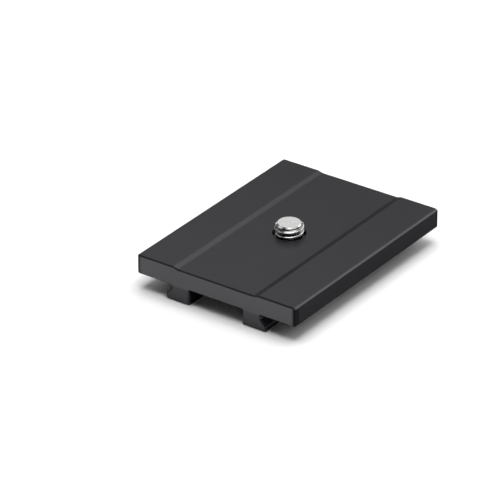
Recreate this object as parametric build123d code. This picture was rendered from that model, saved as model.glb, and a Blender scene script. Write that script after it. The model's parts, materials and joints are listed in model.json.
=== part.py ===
from build123d import *
import os
from math import cos, radians, tan

# Tripod quick release plate: a dovetail plate of black anodised aluminium with a captive camera screw.
# Millimetres. X runs across the plate, Y along the dovetail and Z up.
# The origin is under the plate's middle, on the plane that its two feet stand on.

# Plate, an extruded profile sawn to length
plate_length = 80.0
plate_width = 60.8
flange_thickness = 6.7
corner_radius = 1.4          # upright corners, seen from above
flange_edge_radius = 1.15    # long upper and lower edges of the flange, rounded in the profile
end_chamfer = 0.4            # broken edge of the two sawn ends
rim_chamfer = 0.45           # upper edge, broken all the way round the corners

# Dovetail foot, clamped from both sides at its 45 degree flanks
dovetail_width = 38.0        # across the two lips
flank_depth = 2.1            # how far each V groove cuts in under the flange
lip_height = 1.9
neck_height = 1.3            # upright wall between the flank and the flange
lip_edge_radius = 0.5
groove_root_radius = 0.3
slot_width = 20.4            # open slot between the two feet
slot_corner_radius = 0.5

# Camera seat: a shallow channel between two rails
channel_width = 32.6         # between the rails, at their top
channel_depth = 0.5
channel_wall_run = 1.9       # how far each sloped wall reaches in
channel_edge_radius = 1.5

# Camera screw, 3/8 inch
thread_diameter = 9.525
screw_reach = 3.7            # thread above the channel floor while the screw lies low
thread_lead_chamfer = 1.05
thread_root_chamfer = 0.4
neck_relief = 0.5            # neck below the thread, on the radius
screw_travel = 1.25          # how far the captive screw lifts
head_floor_gap = 0.4         # head above the surface that the feet stand on
head_seat_gap = 0.05         # head below the slot's ceiling, fully lifted
head_side_gap = 2.2          # head to each wall of the slot
head_edge_chamfer = 0.5
head_rim_chamfer = 0.25
socket_across_flats = 4.0
socket_depth = 3.0
socket_mouth_chamfer = 0.3
socket_drill_angle = 118.0

# Screw hole and the split ring that keeps the screw in it
hole_clearance = 0.12        # thread to hole, on the radius
counterbore_gap = 0.58       # thread to counterbore, on the radius
hole_edge_chamfer = 0.1
ring_thickness = 1.0
ring_cover = 0.35            # ring below the channel floor, fully lifted
ring_side_clearance = 0.1    # ring to counterbore, on the radius
ring_bore_clearance = 0.05   # ring to groove, on the radius
ring_axial_clearance = 0.06  # ring to each wall of its groove
ring_groove_depth = 1.1      # below the thread, on the radius
ring_opening = 3.0           # gap between the ring's two ends
ring_end_radius = 0.5
ring_edge_chamfer = 0.12

# Levels and radii that follow from the sizes above
foot_height = lip_height + flank_depth + neck_height
plate_height = foot_height + flange_thickness
channel_floor = plate_height - channel_depth
neck_half = dovetail_width / 2 - flank_depth
thread_radius = thread_diameter / 2
hole_radius = thread_radius + hole_clearance
counterbore_radius = thread_radius + counterbore_gap
ring_ledge = channel_floor - (ring_thickness + screw_travel + ring_cover)
head_height = foot_height - head_floor_gap - screw_travel - head_seat_gap


def at_corner(sketch, x, z):
    """The profile's vertices at height z, the same distance x either side of the middle."""
    close = 1e-4
    return [v for v in sketch.vertices() if abs(abs(v.X) - x) < close and abs(v.Y - z) < close]


def plate_profile():
    """Section across the dovetail: feet, V grooves, flange, rails and channel."""
    right = [
        (slot_width / 2, foot_height),
        (slot_width / 2, 0),
        (dovetail_width / 2, 0),
        (dovetail_width / 2, lip_height),
        (neck_half, lip_height + flank_depth),
        (neck_half, foot_height),
        (plate_width / 2, foot_height),
        (plate_width / 2, plate_height),
        (channel_width / 2, plate_height),
        (channel_width / 2 - channel_wall_run, channel_floor),
    ]
    left = [(-x, z) for x, z in reversed(right)]
    profile = make_face(Polyline(*right, *left, close=True))
    rounded = [
        (slot_width / 2, foot_height, slot_corner_radius),
        (dovetail_width / 2, 0, lip_edge_radius),
        (dovetail_width / 2, lip_height, lip_edge_radius),
        (neck_half, lip_height + flank_depth, groove_root_radius),
        (neck_half, foot_height, groove_root_radius),
        (plate_width / 2, foot_height, flange_edge_radius),
        (plate_width / 2, plate_height, flange_edge_radius),
        (channel_width / 2, plate_height, channel_edge_radius),
        (channel_width / 2 - channel_wall_run, channel_floor, channel_edge_radius),
    ]
    for x, z, radius in rounded:
        profile = fillet(at_corner(profile, x, z), radius)
    return profile


def screw_hole():
    """Through hole for the thread, with the counterbore that the split ring moves in."""
    return revolve(
        Plane.XZ
        * make_face(
            Polyline(
                (0, 0),
                (hole_radius, 0),
                (hole_radius, ring_ledge),
                (counterbore_radius, ring_ledge),
                (counterbore_radius, channel_floor - hole_edge_chamfer),
                (counterbore_radius + hole_edge_chamfer, channel_floor),
                (counterbore_radius + hole_edge_chamfer, plate_height),
                (0, plate_height),
                close=True,
            )
        ),
        Axis.Z,
    )


def plate_body():
    """Extruded bar with chamfered ends, its corners and upper rim trimmed from above, and the screw hole."""
    profile = plate_profile()
    full_section = plate_length / 2 - end_chamfer
    bar = extrude(Plane.XZ * profile, full_section, both=True)
    front_end = extrude(Plane.XZ.offset(full_section) * profile, end_chamfer, taper=45)
    bar += [front_end, mirror(front_end, about=Plane.XZ)]
    outline = RectangleRounded(plate_width, plate_length, corner_radius)
    rim_height = plate_height - rim_chamfer
    trim = extrude(outline, rim_height) + extrude(Pos(0, 0, rim_height) * outline, rim_chamfer, taper=45)
    return (bar & trim) - screw_hole()


def split_ring():
    """Flat snap ring, open at one side, lying on the counterbore's ledge."""
    outer = counterbore_radius - ring_side_clearance
    inner = thread_radius - ring_groove_depth + ring_bore_clearance
    opening = Pos(0, -outer) * Rectangle(ring_opening, 2 * outer)
    band = Circle(outer) - Circle(inner) - opening
    band = fillet(band.vertices(), ring_end_radius)
    ring = Pos(0, 0, ring_ledge) * extrude(band, ring_thickness)
    flat = ring.faces().filter_by(Axis.Z)
    return chamfer(flat.edges(), ring_edge_chamfer)


def hex_socket():
    """Hexagonal drive in the head's underside, with a countersunk mouth and a drilled bottom."""
    across_corners = socket_across_flats / cos(radians(30))
    hexagon = RegularPolygon(across_corners / 2, 6)
    socket = Pos(0, 0, head_floor_gap) * extrude(hexagon, socket_depth)
    drill_radius = socket_across_flats / 2
    point = drill_radius / tan(radians(socket_drill_angle / 2))
    drill_top = head_floor_gap + socket_depth
    mouth_radius = across_corners / 2 + socket_mouth_chamfer
    drill = revolve(
        Plane.XZ * make_face(Polyline((0, drill_top), (drill_radius, drill_top), (0, drill_top + point), close=True)),
        Axis.Z,
    )
    mouth = revolve(
        Plane.XZ
        * make_face(
            Polyline(
                (0, head_floor_gap),
                (mouth_radius, head_floor_gap),
                (0, head_floor_gap + mouth_radius),
                close=True,
            )
        ),
        Axis.Z,
    )
    return socket + drill + mouth


def camera_screw():
    """Stud with a plain thread cylinder, ring groove, neck and low head, standing at its lowest."""
    head_radius = slot_width / 2 - head_side_gap
    head_top = head_floor_gap + head_height
    neck_radius = thread_radius - neck_relief
    groove_radius = thread_radius - ring_groove_depth
    groove_low = ring_ledge - ring_axial_clearance
    groove_high = ring_ledge + ring_thickness + ring_axial_clearance
    tip = channel_floor + screw_reach
    stud = revolve(
        Plane.XZ
        * make_face(
            Polyline(
                (0, head_floor_gap),
                (head_radius - head_edge_chamfer, head_floor_gap),
                (head_radius, head_floor_gap + head_edge_chamfer),
                (head_radius, head_top - head_rim_chamfer),
                (head_radius - head_rim_chamfer, head_top),
                (neck_radius, head_top),
                (neck_radius, groove_low),
                (groove_radius, groove_low),
                (groove_radius, groove_high),
                (neck_radius, groove_high),
                (neck_radius, channel_floor),
                (thread_radius, channel_floor + thread_root_chamfer),
                (thread_radius, tip - thread_lead_chamfer),
                (thread_radius - thread_lead_chamfer, tip),
                (0, tip),
                close=True,
            )
        ),
        Axis.Z,
    )
    return stud - hex_socket()


os.makedirs("parts", exist_ok=True)
nodes = {"plate_body": plate_body(), "camera_screw": camera_screw(), "retaining_ring": split_ring()}
for name, solid in nodes.items():
    export_step(solid, f"parts/{name}.step")
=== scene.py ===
import json
import math
import bpy
import numpy as np
from mathutils import Matrix, Vector


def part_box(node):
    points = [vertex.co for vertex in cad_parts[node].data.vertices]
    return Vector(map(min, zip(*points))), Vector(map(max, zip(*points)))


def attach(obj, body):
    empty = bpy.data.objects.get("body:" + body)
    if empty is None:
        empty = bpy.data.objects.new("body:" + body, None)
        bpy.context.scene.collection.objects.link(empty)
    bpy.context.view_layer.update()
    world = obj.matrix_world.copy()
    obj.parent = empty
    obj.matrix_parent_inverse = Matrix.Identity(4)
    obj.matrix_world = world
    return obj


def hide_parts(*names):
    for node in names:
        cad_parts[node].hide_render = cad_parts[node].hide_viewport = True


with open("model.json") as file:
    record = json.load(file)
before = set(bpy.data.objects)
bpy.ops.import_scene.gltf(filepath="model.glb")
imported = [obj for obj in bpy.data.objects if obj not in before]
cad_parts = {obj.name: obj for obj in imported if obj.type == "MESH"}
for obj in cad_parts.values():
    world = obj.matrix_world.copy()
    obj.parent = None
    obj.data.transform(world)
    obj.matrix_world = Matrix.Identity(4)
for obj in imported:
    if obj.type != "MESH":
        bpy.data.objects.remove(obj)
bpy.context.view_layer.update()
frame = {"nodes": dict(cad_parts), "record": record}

# Looks of a tripod quick release plate: black anodised dovetail plate with a bright captive camera screw.
# Metres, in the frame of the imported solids: X across the plate, Y along the dovetail, Z up.

MM = 0.001


# Sizes

mounts = {mount["name"]: mount for mount in frame["record"]["mounts"]}
plate_low, plate_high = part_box("plate_body")
screw_low, screw_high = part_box("camera_screw")
ring_low, ring_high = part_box("retaining_ring")

corner_radius = 1.4 * MM               # upright corners of the plate, seen from above
end_chamfer = 0.4 * MM                 # broken edge of the plate's two ends
foot_height = 5.3 * MM                 # from the floor to the underside of the flange

thread_radius = mounts["camera_screw"]["dims"]["r_mm"] * MM
thread_pitch = 25.4 * MM / 16          # 3/8 inch, sixteen turns to the inch
thread_depth = 0.58 * thread_pitch
crest_flat = 0.14                      # shares of the pitch
root_flat = 0.18
thread_rounding = 0.05                 # how much of the pitch each corner of the thread is rounded over
thread_base = 11.5 * MM                # where the neck ends and the thread runs out
thread_runout = 0.4 * MM
lead_chamfer = 1.05 * MM
front_crest = 13.65 * MM               # height of a crest on the side that faces the camera
front_bearing = math.radians(-54.7)    # that side, counted from +X towards +Y
tip_rounding = 0.05 * MM               # between the thread and the lead chamfer

neck_radius = thread_radius - 0.5 * MM
groove_radius = thread_radius - 1.1 * MM
groove_play = 0.06 * MM
head_radius = screw_high.x
head_top = 4.0 * MM
head_edge = 0.5 * MM
head_rim = 0.25 * MM
socket_flats = 4.0 * MM
socket_depth = 3.0 * MM
socket_mouth = 0.3 * MM
drill_share = 0.97                     # drilled bottom, as a share of the socket's inscribed circle
drill_angle = math.radians(118)

screw_columns = 192                    # a multiple of six, so that the socket's corners fall on columns
thread_rows = 170
sharp_angle = math.radians(40)         # edges steeper than this stay sharp


# Meshes

def ring(radius, height):
    """One row of the turned screw: a radius and a height for every column."""
    return np.broadcast_to(radius, screw_columns), np.broadcast_to(height, screw_columns)


def rounded_min(a, b, blend):
    """The smaller of two lengths, with the corner between them rounded over a blend length."""
    return 0.5 * (a + b - np.sqrt((a - b) ** 2 + blend**2))


def thread_wave(share):
    """Depth of the thread, 0 on the crest and 1 in the root, at a share of the pitch from a crest."""
    distance = np.abs((share + 0.5) % 1.0 - 0.5)
    flank = (distance - crest_flat / 2) / (0.5 - (crest_flat + root_flat) / 2)
    soft = thread_rounding / (0.5 - (crest_flat + root_flat) / 2)
    low = 0.5 * (flank + np.sqrt(flank**2 + soft**2)) - 0.5 * (np.sqrt(1 + soft**2) - 1) * flank.clip(0, 1)
    return rounded_min(low, np.ones_like(low), soft).clip(0, 1)


def threaded_rows(bearings):
    """Rows of the helical thread from its run-out to the chamfered tip."""
    rows = []
    for height in np.linspace(thread_base, screw_high.z, thread_rows):
        rise = thread_pitch * (bearings - front_bearing) / (2 * math.pi)
        share = (height - front_crest - rise) / thread_pitch
        start = min(1.0, (height - thread_base) / thread_runout)
        crest = neck_radius + (thread_radius - neck_radius) * start
        depth = thread_depth * start
        cut = crest - depth * thread_wave(share)
        lead = thread_radius - lead_chamfer + (screw_high.z - height)
        radius = rounded_min(cut, np.full_like(cut, lead), tip_rounding)
        rows.append((radius, np.full(screw_columns, height)))
    return rows


def socket_rows(bearings):
    """Rows of the hexagonal drive, from its drilled bottom to its countersunk mouth."""
    sector = math.pi / 3
    inscribed = socket_flats / 2
    hexagon = inscribed / np.cos((bearings % sector) - sector / 2)
    bottom = screw_low.z + socket_depth
    mouth = inscribed / math.cos(sector / 2) + socket_mouth
    drill = drill_share * inscribed
    return [
        ring(drill, bottom),
        (hexagon, np.full(screw_columns, bottom)),
        (hexagon, screw_low.z + mouth - hexagon),
        ring(mouth, screw_low.z),
    ], bottom + drill / math.tan(drill_angle / 2)


def mesh_from_rows(name, rows, bearings, first_centre, last_centre):
    """A closed turned mesh: rows of points round the Z axis, closed at both ends by a point on it."""
    cosines, sines = np.cos(bearings), np.sin(bearings)
    points = [(0, 0, first_centre)]
    for radius, height in rows:
        points += zip(radius * cosines, radius * sines, height)
    points.append((0, 0, last_centre))
    faces = []
    last = len(points) - 1
    for column in range(screw_columns):
        after = (column + 1) % screw_columns
        faces.append((0, 1 + after, 1 + column))
        for row in range(len(rows) - 1):
            low = 1 + row * screw_columns
            high = low + screw_columns
            faces.append((low + column, low + after, high + after, high + column))
        faces.append((last - screw_columns + column, last - screw_columns + after, last))
    mesh = bpy.data.meshes.new(name)
    mesh.from_pydata(points, [], faces)
    mesh.polygons.foreach_set("use_smooth", [True] * len(mesh.polygons))
    mesh.set_sharp_from_angle(angle=sharp_angle)
    return mesh


def camera_screw():
    """The captive screw with its helical thread, ring groove, low head and hexagonal drive."""
    bearings = np.arange(screw_columns) * 2 * math.pi / screw_columns
    socket, socket_point = socket_rows(bearings)
    turned = [
        ring(head_radius - head_edge, screw_low.z),
        ring(head_radius, screw_low.z + head_edge),
        ring(head_radius, head_top - head_rim),
        ring(head_radius - head_rim, head_top),
        ring(neck_radius, head_top),
        ring(neck_radius, ring_low.z - groove_play),
        ring(groove_radius, ring_low.z - groove_play),
        ring(groove_radius, ring_high.z + groove_play),
        ring(neck_radius, ring_high.z + groove_play),
    ]
    rows = socket + turned + threaded_rows(bearings)
    mesh = mesh_from_rows("camera_screw_threaded", rows, bearings, socket_point, screw_high.z)
    screw = bpy.data.objects.new("camera_screw_threaded", mesh)
    bpy.context.scene.collection.objects.link(screw)
    return screw


# Materials

# painted shade: how far the black is taken down on the plate's sides, upright corners, broken end edges and
# foot ends
painted_shade_depths = {"sides": 0.60, "corners": 0.80, "breaks": 0.55, "feet": 0.28}
tool_ring_pitch = 0.11 * MM            # turned rings on the screw


class Shader:
    """A node material with a Principled shader, and short ways to add the nodes that feed it."""

    def __init__(self, name):
        self.material = bpy.data.materials.new(name)
        self.material.use_nodes = True
        self.nodes = self.material.node_tree.nodes
        self.links = self.material.node_tree.links
        self.surface = self.nodes["Principled BSDF"]
        self.place = self.node("ShaderNodeTexCoord").outputs["Object"]

    def node(self, kind, **settings):
        """A new node with its settings."""
        made = self.nodes.new(kind)
        for key, value in settings.items():
            setattr(made, key, value)
        return made

    def feed(self, socket, value):
        """Links a socket to another, or gives it a constant."""
        if isinstance(value, bpy.types.NodeSocket):
            self.links.new(value, socket)
        else:
            socket.default_value = value

    def math(self, operation, *values):
        """The result of a Math node."""
        made = self.node("ShaderNodeMath", operation=operation)
        for socket, value in zip(made.inputs, values):
            self.feed(socket, value)
        return made.outputs[0]

    def noise(self, size, detail):
        """Noise whose features are about that large, in metres."""
        made = self.node("ShaderNodeTexNoise")
        self.feed(made.inputs["Vector"], self.place)
        made.inputs["Scale"].default_value = 1 / size
        made.inputs["Detail"].default_value = detail
        return made.outputs["Fac"]

    def span(self, value, low, high):
        """A texture's middle range, 0.3 to 0.7, spread from low to high."""
        made = self.node("ShaderNodeMapRange")
        self.feed(made.inputs["Value"], value)
        ends = {"From Min": 0.3, "From Max": 0.7, "To Min": low, "To Max": high}
        for name, number in ends.items():
            made.inputs[name].default_value = number
        return made.outputs[0]

    def axes(self):
        """The place on the object along X, Y and Z."""
        made = self.node("ShaderNodeSeparateXYZ")
        self.feed(made.inputs[0], self.place)
        return made.outputs

    def tint(self, value, dark, light):
        """A colour between two, by a texture."""
        made = self.node("ShaderNodeMix", data_type="RGBA")
        self.feed(made.inputs[0], self.span(value, 0, 1))
        made.inputs[6].default_value = (*dark, 1)
        made.inputs[7].default_value = (*light, 1)
        return made.outputs[2]

    def ramp(self, value, start, end):
        """0 up to the start and 1 from the end on, with a smooth rise between them."""
        made = self.node("ShaderNodeMapRange", interpolation_type="SMOOTHSTEP")
        self.feed(made.inputs["Value"], value)
        made.inputs["From Min"].default_value = start
        made.inputs["From Max"].default_value = end
        return made.outputs[0]

    def deepen(self, colour, share, depth):
        """A colour taken down by a depth where the share is 1."""
        made = self.node("ShaderNodeMix", data_type="RGBA", blend_type="MULTIPLY")
        self.feed(made.inputs[0], share)
        self.feed(made.inputs[6], colour)
        made.inputs[7].default_value = (1 - depth, 1 - depth, 1 - depth, 1)
        return made.outputs[2]

    def mix(self, share, first, second):
        """Two shaders mixed by a share."""
        made = self.node("ShaderNodeMixShader")
        for socket, value in zip(made.inputs, (share, first, second)):
            self.feed(socket, value)
        return made.outputs[0]

    def bump(self, height, strength, depth):
        """A normal from a height texture, with its depth in metres."""
        made = self.node("ShaderNodeBump")
        made.inputs["Strength"].default_value = strength
        made.inputs["Distance"].default_value = depth
        self.feed(made.inputs["Height"], height)
        return made.outputs[0]

    def set(self, **values):
        """Fills sockets of the Principled shader, and gives the material."""
        for name, value in values.items():
            self.feed(self.surface.inputs[name.replace("_", " ")], value)
        return self.material


def painted_shade_places(shader):
    """Shares of the plate's surface that get painted shade: its sides, upright corners, broken end edges
    and foot ends.
    """
    axes = shader.axes()
    beside = shader.math("ABSOLUTE", axes["X"])
    along = shader.math("ABSOLUTE", axes["Y"])
    past_side = shader.math("SUBTRACT", beside, plate_high.x - corner_radius)
    past_end = shader.math("SUBTRACT", along, plate_high.y - corner_radius)
    into_corner = shader.math("MINIMUM", past_side, past_end)
    below_rim = shader.ramp(axes["Z"], plate_high.z - 0.35 * MM, plate_high.z - 0.60 * MM)
    on_break = shader.ramp(along, plate_high.y - end_chamfer, plate_high.y - 0.9 * end_chamfer)
    before_end = shader.ramp(along, plate_high.y - 0.03 * end_chamfer, plate_high.y - 0.12 * end_chamfer)
    near_end = shader.ramp(along, plate_high.y - 0.40 * MM, plate_high.y - 0.05 * MM)
    below_flange = shader.ramp(axes["Z"], foot_height + 0.10 * MM, foot_height - 0.30 * MM)
    return {
        "sides": shader.ramp(beside, plate_high.x - 0.30 * MM, plate_high.x - 0.08 * MM),
        "corners": shader.math("MULTIPLY", below_rim, shader.ramp(into_corner, -0.60 * MM, 0.80 * MM)),
        "breaks": shader.math("MULTIPLY", on_break, before_end),
        "feet": shader.math("MULTIPLY", near_end, below_flange),
    }


def anodised_aluminium():
    """Black dyed oxide over a fine bead blast: satin, with a close grain and slight clouds in the gloss,
    and painted shade on its sides, upright corners, broken end edges and foot ends.
    """
    shader = Shader("anodised_aluminium_satin")
    grain = shader.noise(0.16 * MM, detail=4)
    clouds = shader.noise(9 * MM, detail=3)
    specks = shader.noise(0.5 * MM, detail=2)
    colour = shader.tint(specks, (0.0745, 0.0745, 0.0785), (0.0845, 0.0845, 0.0890))
    # painted shade: the black taken down on the sides, upright corners, broken end edges and foot ends
    for place, share in painted_shade_places(shader).items():
        colour = shader.deepen(colour, share, painted_shade_depths[place])
    return shader.set(
        Base_Color=colour,
        Metallic=1.0,
        Specular_Tint=(0.4, 0.4, 0.4, 1),
        Roughness=shader.span(clouds, 0.36, 0.385),
        Normal=shader.bump(grain, 0.25, 0.01 * MM),
    )


def bright_steel():
    """Turned stainless steel with fine tool rings, and painted shade in the roots of the thread."""
    shader = Shader("bright_steel_turned")
    axes = shader.axes()
    squares = [shader.math("POWER", axes[name], 2.0) for name in ("X", "Y")]
    across = shader.math("SQRT", shader.math("ADD", *squares))
    travel = shader.math("ADD", across, axes["Z"])
    rings = shader.math("SINE", shader.math("MULTIPLY", travel, 2 * math.pi / tool_ring_pitch))
    clouds = shader.noise(1.1 * MM, detail=4)
    scratches = shader.noise(0.25 * MM, detail=3)
    in_root = shader.ramp(across, thread_radius - 0.06 * MM, thread_radius - 0.26 * MM)
    on_thread = shader.ramp(axes["Z"], screw_high.z - 0.10 * MM, screw_high.z - 0.30 * MM)
    under_chamfer = shader.math("SUBTRACT", thread_radius - lead_chamfer + screw_high.z, travel)
    chamfered = shader.ramp(under_chamfer, 0.06 * MM, 0.20 * MM)
    # painted shade in the roots of the thread, below the lead chamfer
    root_painted_shade = shader.math("MULTIPLY", chamfered, shader.math("MULTIPLY", in_root, on_thread))
    colour = shader.tint(clouds, (0.725, 0.723, 0.716), (0.785, 0.783, 0.776))
    return shader.set(
        Base_Color=shader.deepen(colour, root_painted_shade, 0.8),
        Metallic=1.0,
        Roughness=shader.span(scratches, 0.18, 0.25),
        Normal=shader.bump(rings, 0.03, 0.004 * MM),
    )


def spring_steel():
    """Blackened spring steel, a little rubbed."""
    shader = Shader("spring_steel_blackened")
    rubbed = shader.noise(0.8 * MM, detail=4)
    grain = shader.noise(0.12 * MM, detail=3)
    return shader.set(
        Base_Color=shader.tint(rubbed, (0.055, 0.055, 0.06), (0.13, 0.13, 0.135)),
        Metallic=1.0,
        Roughness=shader.span(rubbed, 0.32, 0.46),
        Normal=shader.bump(grain, 0.2, 0.006 * MM),
    )


def white_floor():
    """White studio floor: matt near the object, evenly white further off, and clear from below."""
    shader = Shader("floor_white")
    matt = shader.node("ShaderNodeBsdfDiffuse")
    matt.inputs["Color"].default_value = (0.96, 0.96, 0.96, 1)
    even = shader.node("ShaderNodeEmission")
    clear = shader.node("ShaderNodeBsdfTransparent")
    distance = shader.node("ShaderNodeVectorMath", operation="LENGTH")
    shader.feed(distance.inputs[0], shader.place)
    far = shader.ramp(distance.outputs["Value"], floor_matt_radius, floor_even_radius)
    seen_from_below = shader.node("ShaderNodeNewGeometry").outputs["Backfacing"]
    upper = shader.mix(far, matt.outputs[0], even.outputs[0])
    whole = shader.mix(seen_from_below, upper, clear.outputs[0])
    shader.feed(shader.nodes["Material Output"].inputs["Surface"], whole)
    return shader.material


# Stage: floor, light and camera

view_azimuth = math.radians(35.315)
view_elevation = math.radians(28.588)
view_distance = 1.3580
view_lens = 308.64                     # millimetres, on a sensor 36 mm wide
view_aim = (-12.387 * MM, 4.593 * MM)  # middle of the picture from the origin, to its right and up

floor_half = 6.0
floor_matt_radius = 0.30
floor_even_radius = 0.80

softbox_distance = 1.3
softboxes = [
    # name, azimuth and elevation in degrees, width and height in metres, brightness (the floor is 1)
    ("overhead", 180, 90, 0.95, 0.95, 5.05),
    ("over_back", -170, 60, 1.40, 0.65, 1.42),
    ("over_left", -96, 60, 0.90, 0.60, 0.40),
    ("over_front", 38, 64, 0.90, 0.45, 0.75),
    ("back", -144, 29, 0.42, 0.30, 0.97),
    ("back_high", -164, 42, 0.30, 0.20, 0.70),
    ("back_right", 162, 30, 1.10, 0.65, 2.00),
    ("left", -115, 32, 0.85, 0.65, 0.70),
    ("right", 92, 44, 1.00, 0.65, 0.88),
    ("front", 40, 22, 0.50, 0.30, 0.85),
    ("front_left", -64, 38, 0.70, 0.50, 0.80),
]

horizon_white = 0.07                   # sine of the elevation up to which the room is white
horizon_dark = 0.14                    # and from which it is dark


def direction(azimuth, elevation):
    """Unit vector from the object towards a viewer. Azimuth 0 looks along +Y."""
    return Vector((
        math.sin(azimuth) * math.cos(elevation),
        -math.cos(azimuth) * math.cos(elevation),
        math.sin(elevation),
    ))


def add_floor():
    """A square of floor under the object."""
    mesh = bpy.data.meshes.new("floor")
    corners = [(-1, -1), (1, -1), (1, 1), (-1, 1)]
    mesh.from_pydata([(x * floor_half, y * floor_half, 0) for x, y in corners], [], [(0, 1, 2, 3)])
    mesh.materials.append(white_floor())
    floor = bpy.data.objects.new("floor", mesh)
    bpy.context.scene.collection.objects.link(floor)


def add_softbox(name, azimuth, elevation, width, height, brightness):
    """A rectangular soft light that faces the object."""
    light = bpy.data.lights.new(name, "AREA")
    light.shape = "RECTANGLE"
    light.size = width
    light.size_y = height
    light.energy = math.pi * width * height * brightness
    lamp = bpy.data.objects.new(name, light)
    towards = direction(math.radians(azimuth), math.radians(elevation))
    lamp.location = towards * softbox_distance
    lamp.rotation_euler = (-towards).to_track_quat("-Z", "Y").to_euler()
    lamp.visible_camera = False
    bpy.context.scene.collection.objects.link(lamp)


def add_world():
    """A dark room with a white band round the horizon, where the floor ends."""
    world = bpy.data.worlds.new("studio")
    world.use_nodes = True
    nodes, links = world.node_tree.nodes, world.node_tree.links
    axes = nodes.new("ShaderNodeSeparateXYZ")
    links.new(nodes.new("ShaderNodeTexCoord").outputs["Generated"], axes.inputs[0])
    band = nodes.new("ShaderNodeMapRange")
    band.interpolation_type = "SMOOTHSTEP"
    links.new(axes.outputs["Z"], band.inputs["Value"])
    ends = {"From Min": horizon_white, "From Max": horizon_dark, "To Min": 1, "To Max": 0}
    for name, number in ends.items():
        band.inputs[name].default_value = number
    nodes["Background"].inputs["Color"].default_value = (1, 1, 1, 1)
    links.new(band.outputs[0], nodes["Background"].inputs["Strength"])
    bpy.context.scene.world = world


def add_camera():
    """A long lens that looks down at the front right corner."""
    back = direction(view_azimuth, view_elevation)
    right = Vector((math.cos(view_azimuth), math.sin(view_azimuth), 0))
    up = back.cross(right)
    data = bpy.data.cameras.new("camera")
    data.lens = view_lens
    data.sensor_width = 36
    data.clip_start = 0.01
    camera = bpy.data.objects.new("camera", data)
    axes = Matrix((right, up, back)).transposed().to_4x4()
    place = right * view_aim[0] + up * view_aim[1] + back * view_distance
    camera.matrix_world = Matrix.Translation(place) @ axes
    bpy.context.scene.collection.objects.link(camera)
    bpy.context.scene.camera = camera


# The object

def dress(node, material):
    """Gives a solid of the frame its finish."""
    frame["nodes"][node].data.materials.clear()
    frame["nodes"][node].data.materials.append(material)


dress("plate_body", anodised_aluminium())
dress("retaining_ring", spring_steel())

screw = camera_screw()
screw.data.materials.append(bright_steel())
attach(screw, "screw")
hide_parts("camera_screw")

add_floor()
add_world()
add_camera()
for softbox in softboxes:
    add_softbox(*softbox)
bpy.context.scene.view_settings.view_transform = "Standard"
